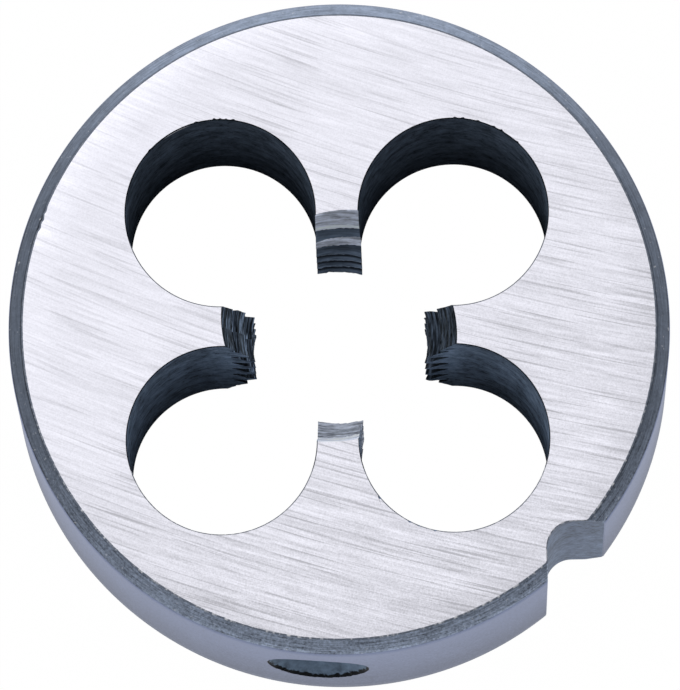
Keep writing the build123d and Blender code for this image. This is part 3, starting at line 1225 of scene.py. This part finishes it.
def floor_finish(studio, sizes):
    """Plain pale floor. The camera, and the metal, see it as white but for the die's soft shadow,
    and under the die it glows plain white, which paints that shadow out.
    """
    finish = Finish("pale_floor")
    rays = ("Is Camera Ray", "Is Glossy Ray", "Is Transmission Ray")
    camera, glossy, transmission = finish.node("ShaderNodeLightPath", output=rays)
    seen = finish.math("MINIMUM", camera + glossy + transmission, 1.0)
    radius, _ = finish.polar()
    # Under the die the floor glows plain white, painting its shadow out there
    under = finish.step(radius, sizes.radius, sizes.hole_circle + sizes.hole_radius)
    glow = studio.floor_glow + under * (1 - studio.floor_glow)
    plain = finish.node("ShaderNodeBsdfDiffuse", inputs={"Color": (0.9, 0.9, 0.9, 1.0)})
    white = finish.node("ShaderNodeEmission", inputs={"Color": (1.0, 1.0, 1.0, 1.0), "Strength": 1.0})
    surface = finish.node("ShaderNodeMixShader", inputs={0: seen * glow, 1: plain, 2: white})
    finish.node("ShaderNodeOutputMaterial", inputs={"Surface": surface})
    return finish.material


def add_floor(studio, sizes):
    """A square floor just under the die."""
    half = studio.floor_width / 2
    signs = ((-1, -1), (1, -1), (1, 1), (-1, 1))
    corners = [(x * half, y * half, -studio.floor_gap) for x, y in signs]
    mesh = bpy.data.meshes.new("floor")
    mesh.from_pydata(corners, [], [(0, 1, 2, 3)])
    mesh.materials.append(floor_finish(studio, sizes))
    floor_piece = bpy.data.objects.new("floor", mesh)
    bpy.context.scene.collection.objects.link(floor_piece)


# The add-on


class MESH_OT_threading_die(Operator):
    """Make the die's skin with its finishes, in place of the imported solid"""

    bl_idname = "mesh.threading_die"
    bl_label = "Threading Die"

    def execute(self, context):
        """Makes the piece, sets it on the root body, and hides the imported solid in its place."""
        sizes = context.scene.die_sizes
        finishes = die_finishes(sizes, context.scene.die_colours)
        piece = die_skin(sizes).piece("threading_die", finishes)
        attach(piece, "root")
        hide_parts("die_body")
        return {"FINISHED"}


class SCENE_OT_die_studio(Operator):
    """Make the camera, the soft light and the pale floor"""

    bl_idname = "scene.die_studio"
    bl_label = "Studio"

    def execute(self, context):
        """Makes the studio's four parts."""
        scene = context.scene
        add_camera(scene.die_studio, scene.die_sizes)
        add_world(scene.die_studio)
        add_lamp(scene.die_studio)
        add_floor(scene.die_studio, scene.die_sizes)
        scene.view_settings.view_transform = "Standard"
        return {"FINISHED"}


class VIEW3D_PT_threading_die(Panel):
    """Lists the die's operators and settings"""

    bl_label = "Threading Die"
    bl_space_type = "VIEW_3D"
    bl_region_type = "UI"
    bl_category = "Threading Die"

    def draw(self, context):
        """Lays out the operators, each above its settings."""
        layout = self.layout
        scene = context.scene
        layout.operator(MESH_OT_threading_die.bl_idname)
        for group in (scene.die_sizes, scene.die_colours):
            for name in group.__annotations__:
                layout.prop(group, name)
        layout.operator(SCENE_OT_die_studio.bl_idname)
        for name in scene.die_studio.__annotations__:
            layout.prop(scene.die_studio, name)


CLASSES = (
    DieSizes,
    DieColours,
    StudioSettings,
    MESH_OT_threading_die,
    SCENE_OT_die_studio,
    VIEW3D_PT_threading_die,
)


def register():
    """Makes the settings, the operators and the panel known to Blender."""
    for cls in CLASSES:
        bpy.utils.register_class(cls)
    bpy.types.Scene.die_sizes = PointerProperty(type=DieSizes)
    bpy.types.Scene.die_colours = PointerProperty(type=DieColours)
    bpy.types.Scene.die_studio = PointerProperty(type=StudioSettings)


def unregister():
    """Takes them away again."""
    del bpy.types.Scene.die_studio
    del bpy.types.Scene.die_colours
    del bpy.types.Scene.die_sizes
    for cls in reversed(CLASSES):
        bpy.utils.unregister_class(cls)


def main():
    """Makes everything."""
    register()
    bpy.ops.mesh.threading_die()
    bpy.ops.scene.die_studio()


if __name__ == "__main__":
    main()
